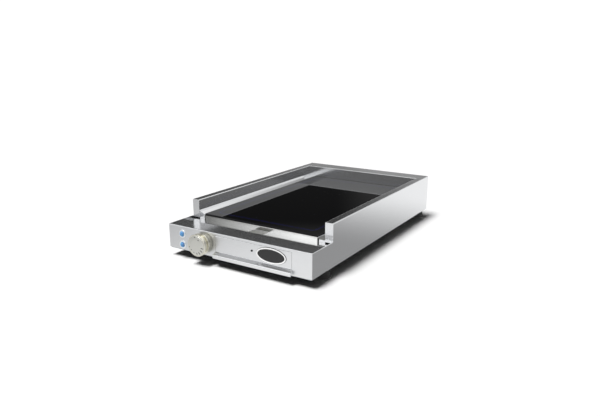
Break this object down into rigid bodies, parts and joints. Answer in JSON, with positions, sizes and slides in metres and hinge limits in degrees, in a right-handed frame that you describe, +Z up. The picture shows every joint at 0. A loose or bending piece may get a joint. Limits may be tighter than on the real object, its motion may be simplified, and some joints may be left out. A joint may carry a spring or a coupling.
{
  "type": "counter-top electric griddle",
  "caption": "Flat counter-top griddle: black glass-ceramic plate between hollow steel splash guards, drip hole with grease drawer, thermostat knob and pilot lamps.",
  "frame": {"origin": "middle of the footprint, on the surface that the feet stand on", "axes": "+X to the user's right, +Y from the fascia to the rear wall, +Z up"},
  "size_m": [0.4, 0.705, 0.1201],
  "materials": {
    "brushed_steel": "brushed stainless sheet, satin with a soft mirror sheen",
    "inner_steel": "mill finish stainless sheet",
    "galvanised": "galvanised sheet with a fine spangle",
    "glass_ceramic": "black glass-ceramic, polished, opaque",
    "silicone": "black silicone bead",
    "heater_tin": "aluminised steel pressing",
    "insulation": "matt pressed fibre insulation",
    "ribbon": "oxidised resistance ribbon",
    "steatite": "unglazed steatite",
    "spring_steel": "blued spring strip",
    "thermostat_plastic": "dark phenolic moulding",
    "zinc_plated": "bright zinc plate",
    "copper": "drawn copper, slightly tarnished",
    "brass": "turned brass",
    "knob_satin": "satin-chromed plastic",
    "knob_face": "warm grey printed dial disc",
    "bezel_chrome": "chromed plastic",
    "lens_blue": "translucent blue lens",
    "dark_screw": "blackened screw",
    "badge_white": "white printed rim",
    "badge_black": "bare black field",
    "foot_rubber": "matt black rubber",
    "gland_nylon": "black nylon"
  },
  "bodies": {
    "body": {"front_panel": "brushed_steel", "side_shell_left": "brushed_steel", "side_shell_right": "brushed_steel", "rear_shell": "brushed_steel", "base_plate": "galvanised", "glass_plate": "glass_ceramic", "glass_seal": "silicone", "glass_frame": "inner_steel", "drip_spout": "inner_steel", "heater_dish_front": "heater_tin", "heater_dish_rear": "heater_tin", "heater_bed_front": "insulation", "heater_bed_rear": "insulation", "heater_ribbon_front": "ribbon", "heater_ribbon_rear": "ribbon", "heat_limiter_front": "steatite", "heat_limiter_rear": "steatite", "heater_strap_1": "inner_steel", "heater_strap_2": "inner_steel", "heater_strap_3": "inner_steel", "heater_strap_4": "inner_steel", "heater_springs": "spring_steel", "thermostat_body": "thermostat_plastic", "thermostat_bracket": "galvanised", "thermostat_screws": "zinc_plated", "sensor_bulb": "copper", "bulb_clips": "spring_steel", "lamp_body_upper": "bezel_chrome", "lamp_body_lower": "bezel_chrome", "lamp_lens_upper": "lens_blue", "lamp_lens_lower": "lens_blue", "lamp_nuts": "zinc_plated", "runner_left": "inner_steel", "runner_right": "inner_steel", "foot_front_left": "foot_rubber", "foot_front_right": "foot_rubber", "foot_rear_left": "foot_rubber", "foot_rear_right": "foot_rubber", "foot_screws": "zinc_plated", "foot_nuts": "zinc_plated", "base_screws": "zinc_plated", "cable_gland": "gland_nylon", "gland_nut": "gland_nylon", "gland_seal": "foot_rubber", "terminal_block": "steatite", "earth_stud": "brass"},
    "knob": {"knob_body": "knob_satin", "knob_cap": "knob_face", "thermostat_spindle": "zinc_plated"},
    "drawer": {"drawer_front": "brushed_steel", "drawer_handle": "brushed_steel", "drawer_tray": "inner_steel", "drawer_screw": "dark_screw", "drawer_nut": "zinc_plated", "badge_rim": "badge_white", "badge_field": "badge_black"}
  },
  "joints": [
    {"name": "knob_turn", "type": "hinge", "parent": "body", "child": "knob", "pos_m": [-0.094, -0.3275, 0.048], "axis": [0, 1, 0], "range_deg": [0, 300]},
    {"name": "drawer_slide", "type": "slide", "parent": "body", "child": "drawer", "axis": [0, -1, 0], "range_m": [0, 0.15]}
  ]
}
